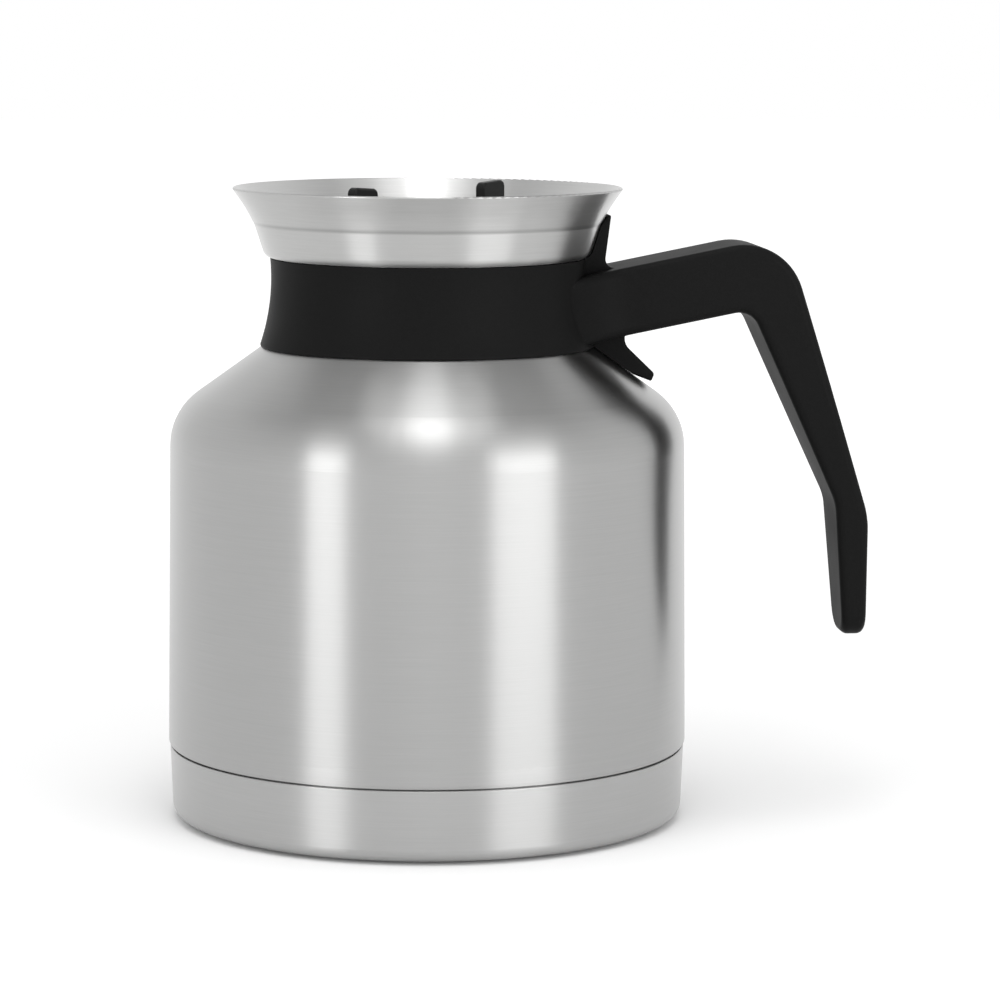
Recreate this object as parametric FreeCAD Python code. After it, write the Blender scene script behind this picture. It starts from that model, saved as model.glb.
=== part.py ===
import FreeCAD, Part

import math
import os

from FreeCAD import Vector

os.makedirs("parts", exist_ok=True)

# Vacuum-jacketed serving carafe with a moulded collar and handle and a lift-out, turn-to-pour lid.
# Millimetres. +Z is up, the body's axis is Z, the handle points along +X,
# and the origin is the middle of the face that the carafe stands on.

# Sheet metal
SHELL_WALL = 0.6
FLASK_WALL = 0.6
CUP_WALL = 0.6
RIM_WALL = 0.8
BOTTOM_WALL = 0.6

# Outer shell: body a little narrower at the top, rounded shoulder, cone and neck
BODY_R = 73.5
BODY_TAPER = 1.0
NECK_R = 40.7
NECK_TOP_Z = 158.1
NECK_FOOT_Z = 137.9
NECK_BEND = 6.0
SHOULDER_DEG = 35.6
SHOULDER_BEND = 18.0
SEAM_Z = 21.0
SEAM_GAP = 0.3
SKIRT_INSET = 3.0
SKIRT_FOOT_Z = 2.9
SKIRT_BEND = 0.6
SHELL_EDGE_BEND = 1.4

# Base cup and the pad under it
CUP_TOP_INSET = 0.4
CUP_TAPER = 0.8
CUP_CORNER_BEND = 3.5
CUP_LIFT = 0.8
CUP_STEP = 0.8
CUP_STEP_BEND = 1.0
PAD_INSET = 10.0
PAD_HEIGHT = 2.6
PAD_FIT = 0.2
PAD_EDGE = 0.5
PAD_GROOVE_R = 20.0
PAD_GROOVE_STEP = 12.0
PAD_GROOVE_COUNT = 4
PAD_GROOVE_WIDTH = 1.8
PAD_GROOVE_DEPTH = 0.9

# Inner flask and the vacuum jacket
BODY_GAP = 7.0
SHOULDER_GAP = 4.5
NECK_GAP = 1.4
FLASK_FLOOR_Z = 15.5
FLASK_HEEL_BEND = 14.0
FLASK_WELD_RISE = 18.0
FLASK_SHOULDER_BEND = 12.0
FLASK_NECK_BEND = 6.0
FLASK_FLANGE_BEND = 1.4
FLASK_KICK = 3.0
FLASK_KICK_R = 20.0
FLASK_KICK_RUN = 7.0
FLASK_KICK_BEND = 4.0
BOTTOM_Z = 8.0
BOTTOM_FIT = 0.05
BOTTOM_BEND = 3.0
BOTTOM_FLANGE_FOOT_Z = 3.2
POCKET_R = 5.0
POCKET_RUN = 2.0
POCKET_DEPTH = 2.5
POCKET_BEND = 0.9
VENT_R = 1.2
PELLET_R = 4.4
PELLET_HEIGHT = 1.4
PELLET_EDGE = 0.5
GETTER_R = 9.0
GETTER_HEIGHT = 2.6
GETTER_EDGE = 0.6
FOIL_FIT = 0.1
FOIL_WALL = 0.25
FOIL_FOOT_Z = 32.0
FOIL_TOP_Z = 100.0

# Pouring rim: a spun funnel on top of the neck
RIM_HEEL_R = 45.6
RIM_HEEL_BEND = 3.0
RIM_CREASE_R = 48.6
RIM_CREASE_RISE = 9.3
RIM_CREASE_BEND = 0.8
RIM_FLARE_R = 51.1
RIM_FLARE_RISE = 14.0
RIM_FLARE_BEND = 30.0
RIM_LIP_R = 54.6
RIM_LIP_RISE = 19.1

# Collar moulding
COLLAR_CLEAR = 0.25
COLLAR_WAIST_R = 44.0
COLLAR_WAIST_DROP = 5.4
COLLAR_SWEEP_R = 59.0
COLLAR_FOOT_RISE = 0.8
COLLAR_FOOT_R = 47.0
COLLAR_FOOT_ROUND = 0.7

# Handle moulding, drawn in the XZ plane
HANDLE_WIDTH = 28.0
HANDLE_EDGE = 2.2
HANDLE_FLARE_R = 24.0
HANDLE_SINK = 0.15
ARM_RISE_DEG = 11.3
ARM_TOP_Z = 154.25
ARM_HEIGHT = 19.15
CORNER_OUT_X = 100.0
CORNER_OUT_BEND = 17.5
CORNER_IN_X = 90.3
CORNER_IN_BEND = 6.0
GRIP_BEND_X = 125.1
GRIP_BEND_Z = 84.9
GRIP_BEND_OUT = 25.0
GRIP_BEND_IN = 15.0
GRIP_BEND_DEPTH = 9.6
GRIP_BEND_STAGGER = 4.1
GRIP_TAPER_Z = 122.0
GRIP_TAPER_BEND = 300.0
GRIP_TIP_X = 125.3
GRIP_TIP_Z = 50.3
GRIP_TIP_DEPTH = 6.7
GRIP_TIP_WIDTH = 18.0
GRIP_TIP_ROUND = 7.0

# Fin and tongue: the rib at the handle's root that hugs the rim and the shoulder
RIB_WIDTH = 14.0
RIB_EDGE = 0.9
FIN_FOOT_X = 49.2
FIN_FOOT_BEND = 2.5
FIN_TIP_X = 51.3
FIN_TIP_RISE = 12.9
FIN_TIP_BEND = 0.5
FIN_TIP_DEG = 44.0
TONGUE_FOOT_BEND = 1.5
TONGUE_ROOT_X = 55.25
TONGUE_ROOT_Z = 134.3
TONGUE_ROOT_BEND = 4.0
TONGUE_TIP_X = 63.8
TONGUE_TIP_Z = 126.0
TONGUE_TIP_BEND = 1.1
TONGUE_TIP_DEPTH = 2.2
TONGUE_TIP_TUCK = 0.9
TONGUE_UNDER_DEG = 21.0

# Lid: stopper, seal, dial, funnel ring and mixing tube
PLUG_FLANGE_R = 42.0
PLUG_DECK = 2.2
PLUG_CLEAR = 0.8
PLUG_WALL = 2.0
PLUG_DEPTH = 14.0
PLUG_EDGE = 0.6
SEAL_CLEAR = 0.3
SEAL_FIT = 0.05
SEAL_GROOVE_DEPTH = 1.0
SEAL_GROOVE_DROP = 5.0
SEAL_HEIGHT = 4.6
SEAL_LIP = 0.6
SEAL_ROUND = 0.25
HUB_R = 9.0
TUBE_BORE_R = 6.0
TUBE_FIT = 0.05
TUBE_WALL = 1.0
TUBE_FOOT_GAP = 7.0
TUBE_NOTCH_WIDTH = 4.0
TUBE_NOTCH_HEIGHT = 9.0
DIAL_GAP = 0.2
DIAL_BORE_FIT = 0.1
DIAL_R = 35.5
DIAL_WALL = 2.2
DIAL_LIP = 2.6
DIAL_BEND = 2.8
DIAL_FLARE = 0.6
WINDOW_IN_R = 16.0
WINDOW_OUT_R = 29.0
WINDOW_DEG = 62.0
WINDOW_ROUND = 2.0
WING_DEG = 44.5
WING_MID_R = 27.5
WING_LENGTH = 9.8
WING_THICK = 3.2
WING_ABOVE_LIP = 1.3
WING_SLOPE = 0.7
WING_BEND = 1.8
WING_EDGE = 0.7
RING_R = 12.5
RING_GAP = 0.3
RING_FIT = 0.05
RING_SLEEVE = 1.8
RING_BRIM = 1.6
RING_EDGE = 0.6

# Heights and radii that follow from the sizes above
SHOULDER_SLOPE = math.tan(math.radians(SHOULDER_DEG))
FLASK_NECK_R = NECK_R - SHELL_WALL - NECK_GAP - FLASK_WALL
FLASK_R = BODY_R - SHELL_WALL - BODY_GAP - FLASK_WALL
FLASK_TOP_Z = NECK_TOP_Z + FLASK_WALL
FLASK_WELD_Z = FLASK_FLOOR_Z + FLASK_WELD_RISE
RIM_FLOOR_Z = FLASK_TOP_Z
WAIST_Z = RIM_FLOOR_Z - COLLAR_WAIST_DROP
SEAT_Z = RIM_FLOOR_Z + RIM_WALL
LIP_Z = RIM_FLOOR_Z + RIM_LIP_RISE
DECK_Z = SEAT_Z + PLUG_DECK
DIAL_Z = DECK_Z + DIAL_GAP
DIAL_FLOOR_Z = DIAL_Z + DIAL_WALL
RING_Z = DIAL_FLOOR_Z + RING_GAP
HUB_TOP_Z = RING_Z + RING_SLEEVE
BODY_TOP_R = BODY_R - BODY_TAPER
SKIRT_R = BODY_R - SKIRT_INSET
PAD_R = BODY_R - PAD_INSET
PLUG_R = FLASK_NECK_R - PLUG_CLEAR
TUBE_R = TUBE_BORE_R + TUBE_WALL

AXIS_FOOT = Vector(0, 0, 0)
UP = Vector(0, 0, 1)
SIDEWAYS = Vector(0, 1, 0)
FULL_TURN = 360.0
TINY = 1e-4


# Drawing helpers

def side_point(across, height):
    """Point of a profile in the XZ plane."""
    return Vector(across, 0, height)


def rounded_corner(before, corner, after, bend):
    """Start, middle and end of the arc that rounds a corner."""
    arriving = (corner - before).normalize()
    leaving = (after - corner).normalize()
    turn = arriving.getAngle(leaving)
    reach = bend * math.tan(turn / 2)
    inward = (leaving - arriving).normalize()
    sagitta = bend / math.cos(turn / 2) - bend
    return corner - arriving * reach, corner + inward * sagitta, corner + leaving * reach


def bent_edges(path, closed=False):
    """Straight runs joined by tangent arcs. Each entry of the path is (across, height, bend)."""
    corners = [side_point(across, height) for across, height, bend in path]
    count = len(path)
    stops = []
    for index, (across, height, bend) in enumerate(path):
        at_end = not closed and index in (0, count - 1)
        if at_end or bend <= TINY:
            stops.append((corners[index],))
        else:
            before = corners[index - 1]
            after = corners[(index + 1) % count]
            stops.append(rounded_corner(before, corners[index], after, bend))
    edges = []
    for index, stop in enumerate(stops):
        if len(stop) > 1:
            edges.append(Part.Arc(*stop).toShape())
        if index == count - 1 and not closed:
            break
        run_start = stop[-1]
        run_end = stops[(index + 1) % count][0]
        if run_start.distanceToPoint(run_end) > TINY:
            edges.append(Part.LineSegment(run_start, run_end).toShape())
    return edges


def left_of(start, end):
    """Unit vector to the left of the run from one path entry to the next, as (across, height)."""
    across = end[0] - start[0]
    height = end[1] - start[1]
    length = math.hypot(across, height)
    return -height / length, across / length


def offset_path(path, gap):
    """The path moved sideways to its left by gap, with its bends kept concentric."""
    sides = [left_of(path[index], path[index + 1]) for index in range(len(path) - 1)]
    moved = []
    for index, (across, height, bend) in enumerate(path):
        before = sides[max(index - 1, 0)]
        after = sides[min(index, len(sides) - 1)]
        share = gap / (1 + before[0] * after[0] + before[1] * after[1])
        turn = before[0] * after[1] - before[1] * after[0]
        new_bend = bend - math.copysign(1.0, turn) * gap if bend > TINY else 0.0
        moved.append((across + (before[0] + after[0]) * share,
                      height + (before[1] + after[1]) * share,
                      max(new_bend, 0.0)))
    return moved


def spun(edges):
    """Solid of revolution about the body's axis from a closed set of edges."""
    face = Part.Face(Part.Wire(Part.__sortEdges__(edges)))
    return face.revolve(AXIS_FOOT, UP, FULL_TURN)


def spun_section(path):
    """Solid of revolution from a closed outline."""
    return spun(bent_edges(path, closed=True))


def end_point(edges):
    """Last point of a run of edges."""
    return edges[-1].valueAt(edges[-1].LastParameter)


def start_point(edges):
    """First point of a run of edges."""
    return edges[0].valueAt(edges[0].FirstParameter)


def spun_sheet(path, wall, round_end=False):
    """Spun sheet metal: the path is one face, and the wall lies to the left of it."""
    face_side = bent_edges(path)
    far_side = bent_edges(offset_path(path, wall))
    tip_a = end_point(face_side)
    tip_b = end_point(far_side)
    foot = Part.LineSegment(start_point(far_side), start_point(face_side)).toShape()
    if round_end:
        along = (side_point(*path[-1][:2]) - side_point(*path[-2][:2])).normalize()
        tip = Part.Arc(tip_a, (tip_a + tip_b) * 0.5 + along * (wall / 2), tip_b).toShape()
    else:
        tip = Part.LineSegment(tip_a, tip_b).toShape()
    return spun(face_side + [tip] + far_side + [foot])


def filled_to_axis(path):
    """Solid of revolution of everything between a path and the axis."""
    edges = bent_edges(path)
    top = end_point(edges)
    foot = start_point(edges)
    top_on_axis = side_point(0, top.z)
    foot_on_axis = side_point(0, foot.z)
    closing = [Part.LineSegment(top, top_on_axis).toShape(),
               Part.LineSegment(top_on_axis, foot_on_axis).toShape(),
               Part.LineSegment(foot_on_axis, foot).toShape()]
    return spun(edges + closing)


def disc(radius, foot_z, height):
    """Plain round disc on the axis."""
    return Part.makeCylinder(radius, height, Vector(0, 0, foot_z))


def side_plate(path, width):
    """Plate drawn in the XZ plane and centred on it."""
    face = Part.Face(Part.Wire(Part.__sortEdges__(bent_edges(path, closed=True))))
    face.translate(Vector(0, -width / 2, 0))
    return face.extrude(Vector(0, width, 0))


def outline_edges(plate):
    """Edges that follow a side plate's outline, without those that run straight across it."""
    kept = []
    for edge in plate.Edges:
        first = edge.Vertexes[0].Point
        last = edge.Vertexes[-1].Point
        runs_across = abs(first.x - last.x) < TINY and abs(first.z - last.z) < TINY
        if not runs_across:
            kept.append(edge)
    return kept


def shoulder_z(radius):
    """Height of the shell's cone at a radius."""
    return NECK_FOOT_Z - (radius - NECK_R) * SHOULDER_SLOPE


# Profiles that other pieces follow

def shell_path():
    """Outer face of the shell, from the foot of its skirt to the top of the neck."""
    return [(SKIRT_R, SKIRT_FOOT_Z, 0),
            (SKIRT_R, SEAM_Z, SKIRT_BEND),
            (BODY_R, SEAM_Z, SHELL_EDGE_BEND),
            (BODY_TOP_R, shoulder_z(BODY_TOP_R), SHOULDER_BEND),
            (NECK_R, NECK_FOOT_Z, NECK_BEND),
            (NECK_R, NECK_TOP_Z, 0)]


def flask_path():
    """Wetted face of the inner flask, from its weld to the bottom up to its top flange."""
    drop = (SHELL_WALL + SHOULDER_GAP + FLASK_WALL) / math.cos(math.radians(SHOULDER_DEG))
    return [(FLASK_R, FLASK_WELD_Z, 0),
            (FLASK_R, shoulder_z(FLASK_R) - drop, FLASK_SHOULDER_BEND),
            (FLASK_NECK_R, shoulder_z(FLASK_NECK_R) - drop, FLASK_NECK_BEND),
            (FLASK_NECK_R, FLASK_TOP_Z, FLASK_FLANGE_BEND),
            (NECK_R, FLASK_TOP_Z, 0)]


def rim_path():
    """Outer face of the pouring rim, from its floor on the neck to the lip."""
    return [(FLASK_NECK_R, RIM_FLOOR_Z, 0),
            (RIM_HEEL_R, RIM_FLOOR_Z, RIM_HEEL_BEND),
            (RIM_CREASE_R, RIM_FLOOR_Z + RIM_CREASE_RISE, RIM_CREASE_BEND),
            (RIM_FLARE_R, RIM_FLOOR_Z + RIM_FLARE_RISE, RIM_FLARE_BEND),
            (RIM_LIP_R, LIP_Z, 0)]


# Steel vessel

def make_outer_shell():
    return spun_sheet(shell_path(), SHELL_WALL)


def make_inner_flask():
    return spun_sheet(flask_path(), -FLASK_WALL)


def make_flask_bottom():
    kick_z = FLASK_FLOOR_Z + FLASK_KICK
    return spun_sheet([(0, kick_z, 0),
                       (FLASK_KICK_R, kick_z, FLASK_KICK_BEND),
                       (FLASK_KICK_R + FLASK_KICK_RUN, FLASK_FLOOR_Z, FLASK_KICK_BEND),
                       (FLASK_R, FLASK_FLOOR_Z, FLASK_HEEL_BEND),
                       (FLASK_R, FLASK_WELD_Z, 0)], -FLASK_WALL)


def make_vessel_bottom():
    flange_r = SKIRT_R - SHELL_WALL - BOTTOM_FIT - BOTTOM_WALL
    ceiling_z = BOTTOM_Z + POCKET_DEPTH
    sheet = spun_sheet([(0, ceiling_z, 0),
                        (POCKET_R, ceiling_z, POCKET_BEND),
                        (POCKET_R + POCKET_RUN, BOTTOM_Z, POCKET_BEND),
                        (flange_r, BOTTOM_Z, BOTTOM_BEND),
                        (flange_r, BOTTOM_FLANGE_FOOT_Z, 0)], BOTTOM_WALL)
    return sheet.cut(disc(VENT_R, BOTTOM_Z, POCKET_DEPTH + 2 * BOTTOM_WALL))


def make_vacuum_seal():
    top_z = BOTTOM_Z + POCKET_DEPTH
    return spun_section([(0, top_z, 0),
                         (PELLET_R, top_z, 0),
                         (PELLET_R, top_z - PELLET_HEIGHT, PELLET_EDGE),
                         (0, top_z - PELLET_HEIGHT, 0)])


def make_getter():
    top_z = FLASK_FLOOR_Z + FLASK_KICK - FLASK_WALL
    return spun_section([(0, top_z, 0),
                         (GETTER_R, top_z, 0),
                         (GETTER_R, top_z - GETTER_HEIGHT, GETTER_EDGE),
                         (0, top_z - GETTER_HEIGHT, 0)])


def make_heat_shield_foil():
    inner_r = FLASK_R + FLASK_WALL + FOIL_FIT
    height = FOIL_TOP_Z - FOIL_FOOT_Z
    tube = disc(inner_r + FOIL_WALL, FOIL_FOOT_Z, height)
    return tube.cut(disc(inner_r, FOIL_FOOT_Z, height))


def make_base_cup():
    step_r = PAD_R + PAD_FIT + CUP_STEP_BEND
    top_r = BODY_R - CUP_TOP_INSET
    return spun_sheet([(0, PAD_HEIGHT, 0),
                       (step_r, PAD_HEIGHT, CUP_STEP_BEND),
                       (step_r + CUP_STEP, CUP_LIFT, CUP_STEP_BEND),
                       (top_r - CUP_TAPER, CUP_LIFT, CUP_CORNER_BEND),
                       (top_r, SEAM_Z - SEAM_GAP - CUP_WALL / 2, 0)], CUP_WALL, round_end=True)


def make_base_pad():
    pad = spun_section([(0, 0, 0),
                        (PAD_R, 0, PAD_EDGE),
                        (PAD_R, PAD_HEIGHT, 0),
                        (0, PAD_HEIGHT, 0)])
    for index in range(PAD_GROOVE_COUNT):
        groove_r = PAD_GROOVE_R + index * PAD_GROOVE_STEP
        groove = disc(groove_r + PAD_GROOVE_WIDTH, 0, PAD_GROOVE_DEPTH)
        pad = pad.cut(groove.cut(disc(groove_r, 0, PAD_GROOVE_DEPTH)))
    return pad


def make_pouring_rim():
    return spun_sheet(rim_path(), RIM_WALL, round_end=True)


# Collar and handle, one moulding

def arm_z(across):
    """Height of the arm's top face above a point of the XZ plane."""
    return ARM_TOP_Z + (across - COLLAR_WAIST_R) * math.tan(math.radians(ARM_RISE_DEG))


def collar_blank():
    """Waisted collar, still solid through to the axis."""
    centre_r = COLLAR_WAIST_R + COLLAR_SWEEP_R
    top_z = RIM_FLOOR_Z
    foot_z = shoulder_z(COLLAR_FOOT_R) + COLLAR_FOOT_RISE

    def sweep_point(height):
        return side_point(centre_r - math.sqrt(COLLAR_SWEEP_R ** 2 - (height - WAIST_Z) ** 2), height)

    top = sweep_point(top_z)
    foot = sweep_point(foot_z)
    sink = 2 * COLLAR_FOOT_RISE
    buried = foot - Vector(math.sin(math.radians(SHOULDER_DEG)), 0,
                           math.cos(math.radians(SHOULDER_DEG))) * sink
    top_on_axis = side_point(0, top_z)
    foot_on_axis = side_point(0, buried.z)
    blank = spun([Part.Arc(top, sweep_point(WAIST_Z), foot).toShape(),
                  Part.LineSegment(foot, buried).toShape(),
                  Part.LineSegment(buried, foot_on_axis).toShape(),
                  Part.LineSegment(foot_on_axis, top_on_axis).toShape(),
                  Part.LineSegment(top_on_axis, top).toShape()])
    foot_edges = [edge for edge in blank.Edges
                  if edge.BoundBox.ZLength < TINY and abs(edge.BoundBox.ZMin - foot_z) < TINY]
    return blank.makeFillet(COLLAR_FOOT_ROUND, foot_edges)


def flare_middle():
    """Middle of the fillet between the arm's side and the collar's waist, seen from above."""
    across = HANDLE_WIDTH / 2 + HANDLE_FLARE_R
    reach = COLLAR_WAIST_R - HANDLE_SINK + HANDLE_FLARE_R
    return math.sqrt(reach ** 2 - across ** 2), across


def handle_root(start_x):
    """Root of the arm, which spreads on both sides until it runs out on the waisted collar.

    The middle of each side's fillet keeps its distance from the waist, so a ring cuts the fillet.
    """
    middle_x, middle_y = flare_middle()
    reach = math.hypot(middle_x, middle_y)
    ring_r = COLLAR_SWEEP_R * middle_x / reach
    far_x = middle_x + HANDLE_FLARE_R
    blank = side_plate([(start_x, arm_z(start_x), 0),
                        (far_x, arm_z(far_x), 0),
                        (far_x, arm_z(far_x) - ARM_HEIGHT, 0),
                        (start_x, arm_z(start_x) - ARM_HEIGHT, 0)], 2 * middle_y)
    ends = [Vector(middle_x, side * middle_y, 0) * 2 for side in (-1, 1)]
    wedge = Part.Face(Part.makePolygon([AXIS_FOOT, ends[0], ends[1], AXIS_FOOT])).extrude(UP * LIP_Z)
    ring_middle = Vector(middle_x + ring_r, 0, WAIST_Z)
    cutters = [Part.makeCylinder(ring_r, 2 * middle_y, ring_middle - SIDEWAYS * middle_y, SIDEWAYS)]
    for side in (-1, 1):
        place = ring_middle + SIDEWAYS * (side * middle_y)
        cutters.append(Part.makeTorus(ring_r, HANDLE_FLARE_R, place, SIDEWAYS))
    return blank.common(wedge).cut(cutters)


def handle_front():
    """Handle seen from its free side: as wide as the arm, then narrower down to the round tip."""
    half = HANDLE_WIDTH / 2
    tip_half = GRIP_TIP_WIDTH / 2
    front = side_plate([(half, LIP_Z, 0),
                        (half, GRIP_TAPER_Z, GRIP_TAPER_BEND),
                        (tip_half, GRIP_TIP_Z, GRIP_TIP_ROUND),
                        (-tip_half, GRIP_TIP_Z, GRIP_TIP_ROUND),
                        (-half, GRIP_TAPER_Z, GRIP_TAPER_BEND),
                        (-half, LIP_Z, 0)], 4 * GRIP_BEND_X)
    front.rotate(AXIS_FOOT, UP, FULL_TURN / 4)
    return front


def is_flank(face):
    """True for the handle's sides and the end of its tip, False for the faces of its side view."""
    first_u, last_u, first_v, last_v = face.ParameterRange
    outward = face.normalAt((first_u + last_u) / 2, (first_v + last_v) / 2)
    is_tip_end = face.BoundBox.ZMax < GRIP_TIP_Z + TINY
    return is_tip_end or abs(outward.y) > TINY


def handle_bar():
    """Arm and grip with rounded edges, from inside the collar to the free tip."""
    middle_x, middle_y = flare_middle()
    start_x = COLLAR_WAIST_R * middle_x / math.hypot(middle_x, middle_y) - HANDLE_EDGE
    outline = [(start_x, arm_z(start_x), 0),
               (CORNER_OUT_X, arm_z(CORNER_OUT_X), CORNER_OUT_BEND),
               (GRIP_BEND_X, GRIP_BEND_Z, GRIP_BEND_OUT),
               (GRIP_TIP_X, GRIP_TIP_Z, 0),
               (GRIP_TIP_X - GRIP_TIP_DEPTH, GRIP_TIP_Z, 0),
               (GRIP_BEND_X - GRIP_BEND_DEPTH, GRIP_BEND_Z + GRIP_BEND_STAGGER, GRIP_BEND_IN),
               (CORNER_IN_X, arm_z(CORNER_IN_X) - ARM_HEIGHT, CORNER_IN_BEND),
               (start_x, arm_z(start_x) - ARM_HEIGHT, 0)]
    bar = side_plate(outline, 2 * HANDLE_WIDTH).common(handle_front())
    bar = bar.fuse(handle_root(start_x)).removeSplitter()
    long_edges = []
    for edge in bar.Edges:
        middle = edge.valueAt((edge.FirstParameter + edge.LastParameter) / 2)
        in_collar = math.hypot(middle.x, middle.y) < COLLAR_WAIST_R - HANDLE_SINK
        flanks = [is_flank(face) for face in bar.ancestorsOfType(edge, Part.Face)]
        if not in_collar and flanks.count(True) == 1:
            long_edges.append(edge)
    return bar.makeFillet(HANDLE_EDGE, long_edges)


def handle_rib():
    """Fin above the arm and tongue below it, before the vessel's shape is taken out of them."""
    buried_x = COLLAR_WAIST_R - COLLAR_FOOT_RISE
    arm_middle_z = arm_z(FIN_FOOT_X) - ARM_HEIGHT / 2
    fin_end_x = FIN_FOOT_X + 2 * FIN_FOOT_BEND
    fin_tip_z = RIM_FLOOR_Z + FIN_TIP_RISE
    tip_slope = math.tan(math.radians(FIN_TIP_DEG))
    fin = side_plate([(buried_x, arm_middle_z, 0),
                      (fin_end_x, arm_middle_z, 0),
                      (fin_end_x, arm_z(fin_end_x), 0),
                      (FIN_FOOT_X, arm_z(FIN_FOOT_X), FIN_FOOT_BEND),
                      (FIN_TIP_X, fin_tip_z, FIN_TIP_BEND),
                      (buried_x, fin_tip_z - (FIN_TIP_X - buried_x) * tip_slope, 0)], RIB_WIDTH)
    tongue_end_x = TONGUE_ROOT_X + 2 * TONGUE_FOOT_BEND
    under_x = TONGUE_TIP_X - TONGUE_TIP_TUCK
    under_z = TONGUE_TIP_Z - TONGUE_TIP_DEPTH
    under_slope = math.tan(math.radians(TONGUE_UNDER_DEG))
    tongue = side_plate([(buried_x, arm_middle_z, 0),
                         (tongue_end_x, arm_middle_z, 0),
                         (tongue_end_x, arm_z(tongue_end_x) - ARM_HEIGHT, 0),
                         (TONGUE_ROOT_X, arm_z(TONGUE_ROOT_X) - ARM_HEIGHT, TONGUE_FOOT_BEND),
                         (TONGUE_ROOT_X, TONGUE_ROOT_Z, TONGUE_ROOT_BEND),
                         (TONGUE_TIP_X, TONGUE_TIP_Z, TONGUE_TIP_BEND),
                         (under_x, under_z, TONGUE_TIP_BEND / 2),
                         (buried_x, under_z + (under_x - buried_x) * under_slope, 0)], RIB_WIDTH)
    fin = fin.makeFillet(RIB_EDGE, fin_outer_edges(fin, FIN_FOOT_X))
    tongue = tongue.makeFillet(RIB_EDGE, fin_outer_edges(tongue, TONGUE_ROOT_X))
    return fin, tongue


def fin_outer_edges(plate, from_x):
    """Outline edges on the open side of the fin or tongue."""
    kept = []
    for edge in outline_edges(plate):
        middle = edge.valueAt((edge.FirstParameter + edge.LastParameter) / 2)
        if middle.x > from_x - RIB_EDGE:
            kept.append(edge)
    return kept


def make_collar_handle():
    room_above = 3 * RIM_WALL
    vessel = offset_path(shell_path(), -COLLAR_CLEAR)
    neck_across, neck_z, neck_bend = vessel[-1]
    vessel[-1] = (neck_across, neck_z + room_above, neck_bend)
    vessel_room = filled_to_axis(vessel)
    rim = offset_path(rim_path(), -COLLAR_CLEAR)
    rim_room = filled_to_axis(rim)
    fin, tongue = handle_rib()
    moulding = collar_blank().fuse([handle_bar(), fin, tongue])
    moulding = moulding.cut([vessel_room, rim_room])
    return moulding.removeSplitter()


# Lid

def ring_sector(inner_r, outer_r, foot_z, height, middle_deg):
    """Window cutter: part of a ring with rounded corners."""
    outer = Part.makeCylinder(outer_r, height, Vector(0, 0, foot_z), UP, WINDOW_DEG)
    sector = outer.cut(disc(inner_r, foot_z, height))
    corners = [edge for edge in sector.Edges if edge.BoundBox.ZLength > height - TINY]
    sector = sector.makeFillet(WINDOW_ROUND, corners)
    sector.rotate(AXIS_FOOT, UP, middle_deg - WINDOW_DEG / 2)
    return sector


def window_pair(foot_z, height, middle_deg):
    """Two facing windows."""
    half_turn = FULL_TURN / 2
    return [ring_sector(WINDOW_IN_R, WINDOW_OUT_R, foot_z, height, middle_deg + side * half_turn)
            for side in (0, 1)]


def seal_groove_top():
    return SEAT_Z - SEAL_GROOVE_DROP


def make_lid_plug():
    foot_z = SEAT_Z - PLUG_DEPTH
    groove_top = seal_groove_top() + SEAL_FIT
    groove_foot = seal_groove_top() - SEAL_HEIGHT - SEAL_FIT
    groove_r = PLUG_R - SEAL_GROOVE_DEPTH
    hole_r = TUBE_R + TUBE_FIT
    plug = spun_section([(hole_r, DECK_Z, 0),
                         (PLUG_FLANGE_R, DECK_Z, PLUG_EDGE),
                         (PLUG_FLANGE_R, SEAT_Z, 0),
                         (PLUG_R, SEAT_Z, 0),
                         (PLUG_R, groove_top, 0),
                         (groove_r, groove_top, 0),
                         (groove_r, groove_foot, 0),
                         (PLUG_R, groove_foot, 0),
                         (PLUG_R, foot_z, PLUG_EDGE),
                         (PLUG_R - PLUG_WALL, foot_z, 0),
                         (PLUG_R - PLUG_WALL, SEAT_Z, 0),
                         (hole_r, SEAT_Z, 0)])
    return plug.cut(window_pair(SEAT_Z, PLUG_DECK, WING_DEG))


def make_lid_seal():
    inner_r = PLUG_R - SEAL_GROOVE_DEPTH + SEAL_FIT
    lip_r = FLASK_NECK_R - SEAL_CLEAR
    dip_r = lip_r - SEAL_LIP
    top_z = seal_groove_top()
    foot_z = top_z - SEAL_HEIGHT
    quarter = SEAL_HEIGHT / 4
    return spun_section([(inner_r, foot_z, 0),
                         (dip_r, foot_z, SEAL_ROUND),
                         (lip_r, foot_z + quarter, SEAL_ROUND),
                         (dip_r, foot_z + 2 * quarter, SEAL_ROUND),
                         (lip_r, foot_z + 3 * quarter, SEAL_ROUND),
                         (dip_r, top_z, SEAL_ROUND),
                         (inner_r, top_z, 0)])


def make_mixing_tube():
    foot_z = FLASK_FLOOR_Z + FLASK_KICK + TUBE_FOOT_GAP
    tube = spun_section([(TUBE_BORE_R, foot_z, 0),
                         (TUBE_R, foot_z, 0),
                         (TUBE_R, DECK_Z, 0),
                         (HUB_R, DECK_Z, 0),
                         (HUB_R, HUB_TOP_Z, 0),
                         (TUBE_BORE_R, HUB_TOP_Z, 0)])
    span = 2 * (TUBE_R + TUBE_WALL)
    along_x = Part.makeBox(span, TUBE_NOTCH_WIDTH, TUBE_NOTCH_HEIGHT,
                           Vector(-span / 2, -TUBE_NOTCH_WIDTH / 2, foot_z))
    along_y = Part.makeBox(TUBE_NOTCH_WIDTH, span, TUBE_NOTCH_HEIGHT,
                           Vector(-TUBE_NOTCH_WIDTH / 2, -span / 2, foot_z))
    return tube.cut([along_x, along_y])


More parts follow.
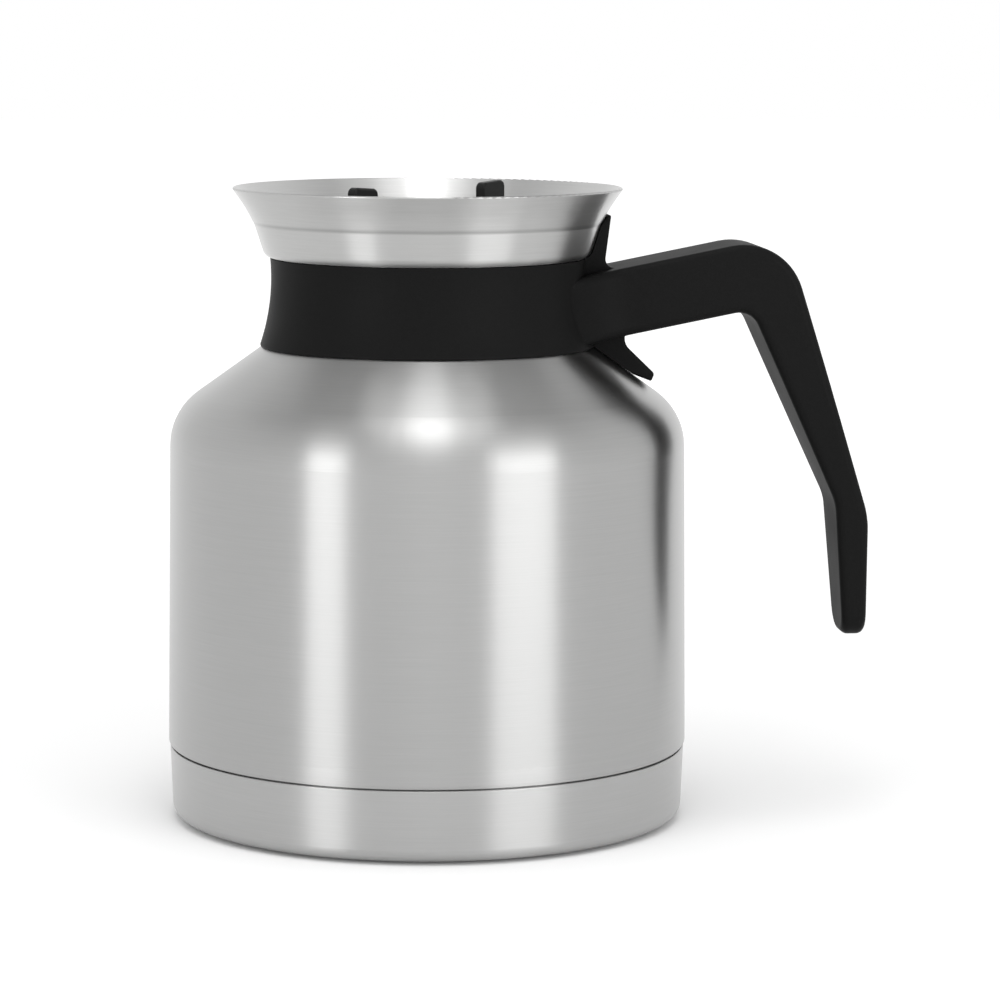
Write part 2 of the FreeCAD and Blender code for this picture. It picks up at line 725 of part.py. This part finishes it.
def wing():
    """Upright finger wing, drawn along +X and then turned to its place."""
    inner_x = WING_MID_R - WING_LENGTH / 2
    outer_x = WING_MID_R + WING_LENGTH / 2
    top_z = LIP_Z + WING_ABOVE_LIP
    root_z = DIAL_FLOOR_Z - DIAL_WALL / 2
    plate = side_plate([(inner_x, root_z, 0),
                        (outer_x, root_z, 0),
                        (outer_x, top_z + WING_SLOPE / 2, WING_BEND),
                        (inner_x, top_z - WING_SLOPE / 2, WING_BEND)], WING_THICK)
    upper = [edge for edge in outline_edges(plate) if edge.BoundBox.ZMax > root_z + TINY]
    return plate.makeFillet(WING_EDGE, upper)


def make_lid_dial():
    dish = spun_sheet([(HUB_R + DIAL_BORE_FIT, DIAL_Z, 0),
                       (DIAL_R, DIAL_Z, DIAL_BEND),
                       (DIAL_R + DIAL_FLARE, DIAL_FLOOR_Z + DIAL_LIP, 0)], DIAL_WALL)
    quarter_turn = FULL_TURN / 4
    dish = dish.cut(window_pair(DIAL_Z, DIAL_WALL, WING_DEG + quarter_turn))
    wings = []
    for side in (0, 1):
        blade = wing()
        blade.rotate(AXIS_FOOT, UP, WING_DEG + side * FULL_TURN / 2)
        wings.append(blade)
    return dish.fuse(wings).removeSplitter()


def make_funnel_ring():
    brim_z = HUB_TOP_Z + RING_BRIM
    return spun_section([(HUB_R + RING_FIT, RING_Z, 0),
                         (RING_R, RING_Z, 0),
                         (RING_R, brim_z, RING_EDGE),
                         (HUB_R + RING_EDGE, brim_z, 0),
                         (TUBE_BORE_R, HUB_TOP_Z, 0),
                         (HUB_R + RING_FIT, HUB_TOP_Z, 0)])


PIECES = {
    "outer_shell": make_outer_shell,
    "inner_flask": make_inner_flask,
    "flask_bottom": make_flask_bottom,
    "vessel_bottom": make_vessel_bottom,
    "vacuum_seal": make_vacuum_seal,
    "getter": make_getter,
    "heat_shield_foil": make_heat_shield_foil,
    "base_cup": make_base_cup,
    "base_pad": make_base_pad,
    "pouring_rim": make_pouring_rim,
    "collar_handle": make_collar_handle,
    "lid_plug": make_lid_plug,
    "lid_seal": make_lid_seal,
    "mixing_tube": make_mixing_tube,
    "lid_dial": make_lid_dial,
    "funnel_ring": make_funnel_ring,
}

for name, make in PIECES.items():
    shape = make()
    shape.exportStep("parts/" + name + ".step")
    print(name, shape.isValid(), len(shape.Solids), round(shape.Volume), shape.BoundBox)
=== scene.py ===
import math

import bpy
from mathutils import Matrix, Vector

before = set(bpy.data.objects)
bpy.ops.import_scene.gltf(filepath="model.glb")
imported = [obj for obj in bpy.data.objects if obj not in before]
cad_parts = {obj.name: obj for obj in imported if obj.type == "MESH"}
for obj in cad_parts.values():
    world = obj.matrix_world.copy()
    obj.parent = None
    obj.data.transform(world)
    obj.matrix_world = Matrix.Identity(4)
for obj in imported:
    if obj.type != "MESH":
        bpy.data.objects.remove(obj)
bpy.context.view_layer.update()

# Metres. The body's axis is Z, the handle points along +X and the carafe stands on z = 0.

# Camera
CAMERA_LENS = 140.65
CAMERA_SENSOR = 36.0
CAMERA_REACH = 1.0985
CAMERA_HEIGHT = 0.233
CAMERA_AZIMUTH_DEG = -5.0
CAMERA_LEVEL_DEG = 90.0
CAMERA_PITCH_DEG = 7.424
CAMERA_YAW_DEG = 1.047
CAMERA_ROLL_DEG = -0.2

# Studio
FLOOR_HALF = 6.0
FLOOR_ALBEDO = 0.92
FLOOR_GLOW_NEAR = 0.02
FLOOR_GLOW_FAR = 0.36
FLOOR_NEAR_REACH = 0.2
FLOOR_FAR_REACH = 1.1
WORLD_DIFFUSE = 0.78
WORLD_SIDES = 1.0
WORLD_ZENITH = 0.5
WORLD_SIDES_SINE = 0.55
WORLD_ZENITH_SINE = 0.9
BOX_AIM = Vector((0.0, 0.0, 0.09))
SIDE_BOX_REACH = 1.25
SIDE_BOX_HEIGHT = 0.5
SIDE_BOX_CENTRE_Z = 0.27
LEFT_BOX_DEG = -48.9
LEFT_BOX_WIDTH = 0.39
LEFT_BOX_WATTS = 2.65
RIGHT_BOX_DEG = 37.1
RIGHT_BOX_WIDTH = 0.65
RIGHT_BOX_WATTS = 4.05
TOP_BOX_DEG = -2.5
TOP_BOX_RISE_DEG = 74.0
TOP_BOX_LENGTH = 1.3
TOP_BOX_REACH = 1.3
TOP_BOX_WIDTH = 0.3
TOP_BOX_WATTS = 2.9
TOP_FILL_REACH = 1.4
TOP_FILL_WIDTH = 0.95
TOP_FILL_WATTS = 5.4

# Brushed steel
SHELL_TONE = (0.405, 0.405, 0.402)
CUP_TONE = (0.432, 0.432, 0.429)
SHELL_ROUGHNESS = 0.36
SHELL_STRETCH = 0.92
RIM_TONE = (0.487, 0.487, 0.482)
# The rim's inner faces are a lighter copy of its steel: painted light for the highlight they catch
RIM_INNER_PAINTED_LIGHT_TONE = (0.59, 0.59, 0.585)
RIM_ROUGHNESS = 0.34
RIM_STRETCH = 0.98
BRUSH_SLANT = 0.8
BRUSH_AROUND = 3.2
BRUSH_LINES = 2600.0
BRUSH_FINE_LINES = 7000.0
BRUSH_TONE = 0.045
BRUSH_GLOSS = 0.015
QUARTER_TURN = 0.25

# Edges of the steel, each shaded straight away from a ring about the body's axis
SHELL_EDGE = {"ring_radius": 0.0, "ring_z": 0.02241, "reach": 0.07352}
RIM_LIP = {"ring_radius": 0.05427, "ring_z": 0.178025, "reach": 0.000405}

# Painted shade along the crease in the pouring rim: a thin dark line in the steel's colour
CREASE_Z = 0.1685
CREASE_HALF = 0.0008
CREASE_SHADE = 0.5
CREASE_SHADE_DARKNESS = 0.5

# Sockets of a mix node by its kind of value: first input, second input, output
MIX_SOCKETS = {"FLOAT": (2, 3, 0), "VECTOR": (4, 5, 1), "RGBA": (6, 7, 2)}
NUMBER_RESULTS = ("LENGTH", "DOT_PRODUCT")


def grey(level):
    return (level, level, level)


def shaded(tone, factor):
    return tuple(channel * factor for channel in tone)


def opaque(tone):
    return (*tone, 1.0)


def empty_tree(owner):
    """Node tree of a material or a world, with nothing in it yet."""
    owner.use_nodes = True
    owner.node_tree.nodes.clear()
    return owner.node_tree


def feed(tree, socket, value):
    """Gives an input another node's output or a plain value."""
    if hasattr(value, "is_linked"):
        tree.links.new(value, socket)
    else:
        socket.default_value = value


def add(tree, kind, inputs=None, **settings):
    """New node with its properties set and its inputs fed."""
    node = tree.nodes.new(kind)
    for name, value in settings.items():
        setattr(node, name, value)
    for name, value in (inputs or {}).items():
        feed(tree, node.inputs[name], value)
    return node


def new_material(name, settings):
    """Material with a Principled shader that has these plain settings."""
    material = bpy.data.materials.new(name)
    tree = empty_tree(material)
    shader = add(tree, "ShaderNodeBsdfPrincipled", settings)
    add(tree, "ShaderNodeOutputMaterial", {"Surface": shader.outputs["BSDF"]})
    return material, tree, shader


def math_node(tree, operation, *values):
    node = add(tree, "ShaderNodeMath", operation=operation)
    for socket, value in zip(node.inputs, values):
        feed(tree, socket, value)
    return node.outputs["Value"]


def vector_math(tree, operation, *vectors):
    node = add(tree, "ShaderNodeVectorMath", operation=operation)
    for socket, vector in zip(node.inputs, vectors):
        feed(tree, socket, vector)
    return node.outputs["Value" if operation in NUMBER_RESULTS else "Vector"]


def scaled(tree, vector, factor):
    node = add(tree, "ShaderNodeVectorMath", {"Vector": vector, "Scale": factor}, operation="SCALE")
    return node.outputs["Vector"]


def average(tree, first, second):
    return math_node(tree, "MULTIPLY", math_node(tree, "ADD", first, second), 0.5)


def mix(tree, kind, factor, first, second):
    """From the first value to the second, by a factor."""
    first_input, second_input, output = MIX_SOCKETS[kind]
    inputs = {"Factor": factor, first_input: first, second_input: second}
    return add(tree, "ShaderNodeMix", inputs, data_type=kind).outputs[output]


def noise(tree, place, scale, detail=2.0, roughness=0.5):
    inputs = {"Vector": place, "Scale": scale, "Detail": detail, "Roughness": roughness}
    return add(tree, "ShaderNodeTexNoise", inputs).outputs["Fac"]


def spread(tree, source, low, high, from_low=0.3, from_high=0.7):
    """Maps a value to a range; a noise keeps mostly within the default source range."""
    inputs = {"Value": source, "From Min": from_low, "From Max": from_high, "To Min": low, "To Max": high}
    return add(tree, "ShaderNodeMapRange", inputs).outputs["Result"]


def speckled(tree, pattern, tone, vary):
    """Colour that a pattern makes a little darker and lighter than a tone."""
    shade = spread(tree, pattern, low=0.0, high=1.0)
    dark = opaque(shaded(tone, 1 - vary))
    light = opaque(shaded(tone, 1 + vary))
    return mix(tree, "RGBA", shade, dark, light)


def colour(tree, shader, pattern, tone, vary):
    feed(tree, shader.inputs["Base Color"], speckled(tree, pattern, tone, vary))


def gloss(tree, shader, pattern, roughness, smoother, rougher):
    """Roughness that a pattern varies about a level."""
    level = spread(tree, pattern, low=roughness - smoother, high=roughness + rougher)
    feed(tree, shader.inputs["Roughness"], level)


def bump(tree, shader, height, strength, depth):
    node = add(tree, "ShaderNodeBump", {"Strength": strength, "Distance": depth, "Height": height})
    feed(tree, shader.inputs["Normal"], node.outputs["Normal"])
    return node


def object_place(tree):
    return add(tree, "ShaderNodeTexCoord").outputs["Object"]


def split_place(tree, place):
    return add(tree, "ShaderNodeSeparateXYZ", {"Vector": place}).outputs


def round_place(tree):
    """Direction away from the body's axis, distance from it, and height."""
    place = split_place(tree, object_place(tree))
    flat = add(tree, "ShaderNodeCombineXYZ", {"X": place["X"], "Y": place["Y"]}).outputs["Vector"]
    return vector_math(tree, "NORMALIZE", flat), vector_math(tree, "LENGTH", flat), place["Z"]


def upward(tree, height):
    return add(tree, "ShaderNodeCombineXYZ", {"Z": height}).outputs["Vector"]


def brush_place(tree, lines):
    """Coordinates that stretch a noise into fine lines round the body's axis."""
    outward, radius, height = round_place(tree)
    slant = math_node(tree, "MULTIPLY", radius, BRUSH_SLANT)
    across = math_node(tree, "MULTIPLY", math_node(tree, "SUBTRACT", height, slant), lines)
    return vector_math(tree, "ADD", scaled(tree, outward, BRUSH_AROUND), upward(tree, across))


def faces_axis(tree):
    """1 where a surface looks towards the body's axis, 0 where it looks away from it."""
    outward = round_place(tree)[0]
    facing = add(tree, "ShaderNodeNewGeometry").outputs["True Normal"]
    return math_node(tree, "LESS_THAN", vector_math(tree, "DOT_PRODUCT", outward, facing), 0.0)


def rolled_normal(tree, ring_radius, ring_z, reach):
    """Normal straight away from a ring, for what lies within reach of it; elsewhere the surface's own."""
    outward, radius, height = round_place(tree)
    sideways = scaled(tree, outward, math_node(tree, "SUBTRACT", radius, ring_radius))
    away = vector_math(tree, "ADD", sideways, upward(tree, math_node(tree, "SUBTRACT", height, ring_z)))
    near = math_node(tree, "LESS_THAN", vector_math(tree, "LENGTH", away), reach)
    turned = add(tree, "ShaderNodeVectorTransform", {"Vector": vector_math(tree, "NORMALIZE", away)},
                 vector_type="NORMAL", convert_from="OBJECT", convert_to="WORLD")
    own = add(tree, "ShaderNodeNewGeometry").outputs["Normal"]
    return mix(tree, "VECTOR", near, own, turned.outputs["Vector"])


def painted_crease_shade(tree, plain, tone):
    """Colour with painted shade: a thin dark line along the rim's crease, where shade falls."""
    height = split_place(tree, object_place(tree))["Z"]
    distance = math_node(tree, "ABSOLUTE", math_node(tree, "SUBTRACT", height, CREASE_Z))
    shade = spread(tree, distance, low=CREASE_SHADE, high=0.0, from_low=0.0, from_high=CREASE_HALF)
    return mix(tree, "RGBA", shade, plain, opaque(shaded(tone, CREASE_SHADE_DARKNESS)))


def brushed_steel(name, tone, inner_lit_tone, roughness, stretch, edge=None, crease=False):
    """Steel brushed round the body's axis: fine lines and stretched highlights."""
    settings = {"Metallic": 1.0, "Anisotropic": stretch, "Anisotropic Rotation": QUARTER_TURN}
    material, tree, shader = new_material(name, settings)
    tangent = add(tree, "ShaderNodeTangent", direction_type="RADIAL", axis="Z")
    feed(tree, shader.inputs["Tangent"], tangent.outputs["Tangent"])
    lines = noise(tree, brush_place(tree, BRUSH_LINES), scale=1.0, detail=3.0, roughness=0.65)
    fine_lines = noise(tree, brush_place(tree, BRUSH_FINE_LINES), scale=1.0, detail=2.0, roughness=0.6)
    streaks = average(tree, lines, fine_lines)
    outside = speckled(tree, streaks, tone, BRUSH_TONE)
    # The rim gets painted shade along its crease, darkening its colour in a thin line
    if crease:
        outside = painted_crease_shade(tree, outside, tone)
    # Faces towards the axis take their own tone; on the rim it is lighter, painted light for its highlight
    inner_lit = speckled(tree, streaks, inner_lit_tone, BRUSH_TONE)
    feed(tree, shader.inputs["Base Color"], mix(tree, "RGBA", faces_axis(tree), outside, inner_lit))
    gloss(tree, shader, streaks, roughness, smoother=BRUSH_GLOSS, rougher=BRUSH_GLOSS)
    relief = bump(tree, shader, streaks, strength=0.02, depth=0.0001)
    if edge:
        feed(tree, relief.inputs["Normal"], rolled_normal(tree, **edge))
    return material


def satin_steel(name, tone, roughness):
    """Drawn sheet with a soft, even grain and the faint rings that spinning leaves."""
    material, tree, shader = new_material(name, {"Metallic": 1.0})
    grain = noise(tree, object_place(tree), scale=900.0, detail=4.0)
    rings = noise(tree, brush_place(tree, BRUSH_LINES), scale=1.0)
    both = average(tree, grain, rings)
    colour(tree, shader, both, tone, vary=0.06)
    gloss(tree, shader, both, roughness, smoother=0.05, rougher=0.05)
    bump(tree, shader, both, strength=0.05, depth=0.0001)
    return material


def crinkled_foil(name, tone, roughness):
    """Bright foil with the small creases of hand wrapping."""
    material, tree, shader = new_material(name, {"Metallic": 1.0})
    place = object_place(tree)
    cells = add(tree, "ShaderNodeTexVoronoi", {"Vector": place, "Scale": 120.0}, feature="DISTANCE_TO_EDGE")
    folds = noise(tree, place, scale=260.0, detail=4.0)
    creases = math_node(tree, "ADD", cells.outputs["Distance"], folds)
    colour(tree, shader, folds, tone, vary=0.05)
    gloss(tree, shader, folds, roughness, smoother=0.06, rougher=0.06)
    bump(tree, shader, creases, strength=0.4, depth=0.0006)
    return material


def sintered_metal(name, tone, roughness):
    """Pressed metal powder: dull, with a coarse grain."""
    material, tree, shader = new_material(name, {"Metallic": 0.7})
    grain = noise(tree, object_place(tree), scale=3200.0, detail=5.0, roughness=0.7)
    colour(tree, shader, grain, tone, vary=0.35)
    gloss(tree, shader, grain, roughness, smoother=0.1, rougher=0.1)
    bump(tree, shader, grain, strength=0.5, depth=0.0002)
    return material


def fused_glass(name, tone, roughness):
    """Dark sealing glass with a smooth, slightly wavy skin."""
    material, tree, shader = new_material(name, {"IOR": 1.52})
    place = object_place(tree)
    clouds = noise(tree, place, scale=420.0, detail=3.0)
    waves = noise(tree, place, scale=160.0, detail=1.0)
    colour(tree, shader, clouds, tone, vary=0.3)
    gloss(tree, shader, waves, roughness, smoother=0.04, rougher=0.06)
    bump(tree, shader, waves, strength=0.2, depth=0.0004)
    return material


def moulded(name, tone, roughness, specular, grain_scale=2600.0, grain_depth=0.00012, grain_strength=0.12):
    """Moulded plastic or rubber with a fine spark-eroded grain and faint changes of gloss."""
    material, tree, shader = new_material(name, {"Specular IOR Level": specular})
    place = object_place(tree)
    grain = noise(tree, place, scale=grain_scale, detail=3.0, roughness=0.6)
    patches = noise(tree, place, scale=45.0)
    colour(tree, shader, grain, tone, vary=0.15)
    gloss(tree, shader, patches, roughness, smoother=0.03, rougher=0.04)
    bump(tree, shader, grain, strength=grain_strength, depth=grain_depth)
    return material


def dress(node, material):
    """Gives a CAD node its finish."""
    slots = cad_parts[node].data.materials
    slots.clear()
    slots.append(material)


def seen_directly(tree):
    """1 for what the camera sees straight, in a mirror or through glass; 0 for light on the object."""
    path = add(tree, "ShaderNodeLightPath").outputs
    seen = math_node(tree, "MAXIMUM", path["Is Camera Ray"], path["Is Glossy Ray"])
    return math_node(tree, "MAXIMUM", seen, path["Is Transmission Ray"])


def pale_floor():
    """Floor finish that keeps the shadow and glows to white towards the background."""
    material = bpy.data.materials.new("pale_floor")
    tree = empty_tree(material)
    diffuse = add(tree, "ShaderNodeBsdfDiffuse", {"Color": opaque(grey(FLOOR_ALBEDO))}).outputs["BSDF"]
    reach = vector_math(tree, "LENGTH", object_place(tree))
    level = spread(tree, reach, FLOOR_GLOW_NEAR, FLOOR_GLOW_FAR, FLOOR_NEAR_REACH, FLOOR_FAR_REACH)
    glow = add(tree, "ShaderNodeEmission", {"Strength": level}).outputs["Emission"]
    lit = add(tree, "ShaderNodeAddShader", {0: diffuse, 1: glow}).outputs["Shader"]
    shown = add(tree, "ShaderNodeMixShader", {"Fac": seen_directly(tree), 1: diffuse, 2: lit})
    add(tree, "ShaderNodeOutputMaterial", {"Surface": shown.outputs["Shader"]})
    return material


def make_floor():
    mesh = bpy.data.meshes.new("floor")
    half = FLOOR_HALF
    corners = [(-half, -half, 0.0), (half, -half, 0.0), (half, half, 0.0), (-half, half, 0.0)]
    mesh.from_pydata(corners, [], [tuple(range(len(corners)))])
    mesh.materials.append(pale_floor())
    floor = bpy.data.objects.new("floor", mesh)
    bpy.context.scene.collection.objects.link(floor)


def make_world():
    """White studio that is dimmer overhead, with a plain level of light on the object."""
    world = bpy.data.worlds.new("studio")
    bpy.context.scene.world = world
    tree = empty_tree(world)
    rise = split_place(tree, add(tree, "ShaderNodeTexCoord").outputs["Generated"])["Z"]
    shown = spread(tree, rise, WORLD_SIDES, WORLD_ZENITH, WORLD_SIDES_SINE, WORLD_ZENITH_SINE)
    strength = mix(tree, "FLOAT", seen_directly(tree), WORLD_DIFFUSE, shown)
    background = add(tree, "ShaderNodeBackground", {"Color": opaque(grey(1.0)), "Strength": strength})
    add(tree, "ShaderNodeOutputWorld", {"Surface": background.outputs["Background"]})


def place_around(azimuth_deg, reach, height):
    """Place round the body's axis, where 0 degrees is the front."""
    turn = math.radians(azimuth_deg)
    return Vector((math.sin(turn) * reach, -math.cos(turn) * reach, height))


def softbox(name, place, width, height, watts):
    """Rectangular area lamp turned towards the carafe."""
    data = bpy.data.lights.new(name, "AREA")
    data.shape = "RECTANGLE"
    data.size = width
    data.size_y = height
    data.energy = watts
    lamp = bpy.data.objects.new(name, data)
    bpy.context.scene.collection.objects.link(lamp)
    lamp.location = place
    lamp.rotation_euler = (BOX_AIM - place).to_track_quat("-Z", "Y").to_euler()


def make_lights():
    """A box on each side for the body's highlights, and two above for the shoulder and the floor."""
    side_boxes = (("left_box", LEFT_BOX_DEG, LEFT_BOX_WIDTH, LEFT_BOX_WATTS),
                  ("right_box", RIGHT_BOX_DEG, RIGHT_BOX_WIDTH, RIGHT_BOX_WATTS))
    for name, degrees, width, watts in side_boxes:
        place = place_around(degrees, SIDE_BOX_REACH, SIDE_BOX_CENTRE_Z)
        softbox(name, place, width, SIDE_BOX_HEIGHT, watts)
    rise = math.radians(TOP_BOX_RISE_DEG)
    above = place_around(TOP_BOX_DEG, math.cos(rise), math.sin(rise))
    top_boxes = (("top_box", TOP_BOX_REACH, TOP_BOX_WIDTH, TOP_BOX_WATTS),
                 ("top_fill", TOP_FILL_REACH, TOP_FILL_WIDTH, TOP_FILL_WATTS))
    for name, reach, width, watts in top_boxes:
        softbox(name, BOX_AIM + above * reach, width, TOP_BOX_LENGTH, watts)


def make_camera():
    data = bpy.data.cameras.new("camera")
    data.lens = CAMERA_LENS
    data.sensor_width = CAMERA_SENSOR
    data.sensor_fit = "HORIZONTAL"
    camera = bpy.data.objects.new("camera", data)
    bpy.context.scene.collection.objects.link(camera)
    camera.location = place_around(CAMERA_AZIMUTH_DEG, CAMERA_REACH, CAMERA_HEIGHT)
    tilt = math.radians(CAMERA_LEVEL_DEG - CAMERA_PITCH_DEG)
    turn = math.radians(CAMERA_AZIMUTH_DEG) - math.radians(CAMERA_YAW_DEG)
    camera.rotation_euler = (tilt, math.radians(CAMERA_ROLL_DEG), turn)
    bpy.context.scene.camera = camera


shell_steel = brushed_steel("shell_steel", SHELL_TONE, SHELL_TONE, SHELL_ROUGHNESS, SHELL_STRETCH,
                            edge=SHELL_EDGE)
cup_steel = brushed_steel("cup_steel", CUP_TONE, CUP_TONE, SHELL_ROUGHNESS, SHELL_STRETCH)
rim_steel = brushed_steel("rim_steel", RIM_TONE, RIM_INNER_PAINTED_LIGHT_TONE, RIM_ROUGHNESS, RIM_STRETCH,
                          edge=RIM_LIP, crease=True)
plain_steel = satin_steel("plain_steel", tone=grey(0.5), roughness=0.35)
foil = crinkled_foil("foil", tone=(0.8, 0.8, 0.81), roughness=0.22)
getter_metal = sintered_metal("getter_metal", tone=(0.12, 0.115, 0.11), roughness=0.75)
sealing_glass = fused_glass("sealing_glass", tone=(0.05, 0.035, 0.02), roughness=0.12)
handle_plastic = moulded("handle_plastic", tone=grey(0.0085), roughness=0.46, specular=0.035)
lid_plastic = moulded("lid_plastic", tone=grey(0.004), roughness=0.38, specular=0.2)
seal_silicone = moulded("seal_silicone", tone=(0.09, 0.09, 0.092), roughness=0.55, specular=0.35,
                        grain_scale=1400.0)
pad_rubber = moulded("pad_rubber", tone=grey(0.016), roughness=0.75, specular=0.3,
                     grain_scale=1100.0, grain_depth=0.0003, grain_strength=0.35)

FINISHES = {
    "outer_shell": shell_steel,
    "base_cup": cup_steel,
    "pouring_rim": rim_steel,
    "inner_flask": plain_steel,
    "flask_bottom": plain_steel,
    "vessel_bottom": plain_steel,
    "heat_shield_foil": foil,
    "getter": getter_metal,
    "vacuum_seal": sealing_glass,
    "base_pad": pad_rubber,
    "collar_handle": handle_plastic,
    "lid_plug": lid_plastic,
    "mixing_tube": lid_plastic,
    "funnel_ring": lid_plastic,
    "lid_dial": lid_plastic,
    "lid_seal": seal_silicone,
}
for node, finish in FINISHES.items():
    dress(node, finish)

make_floor()
make_world()
make_lights()
make_camera()
bpy.context.scene.view_settings.view_transform = "Standard"
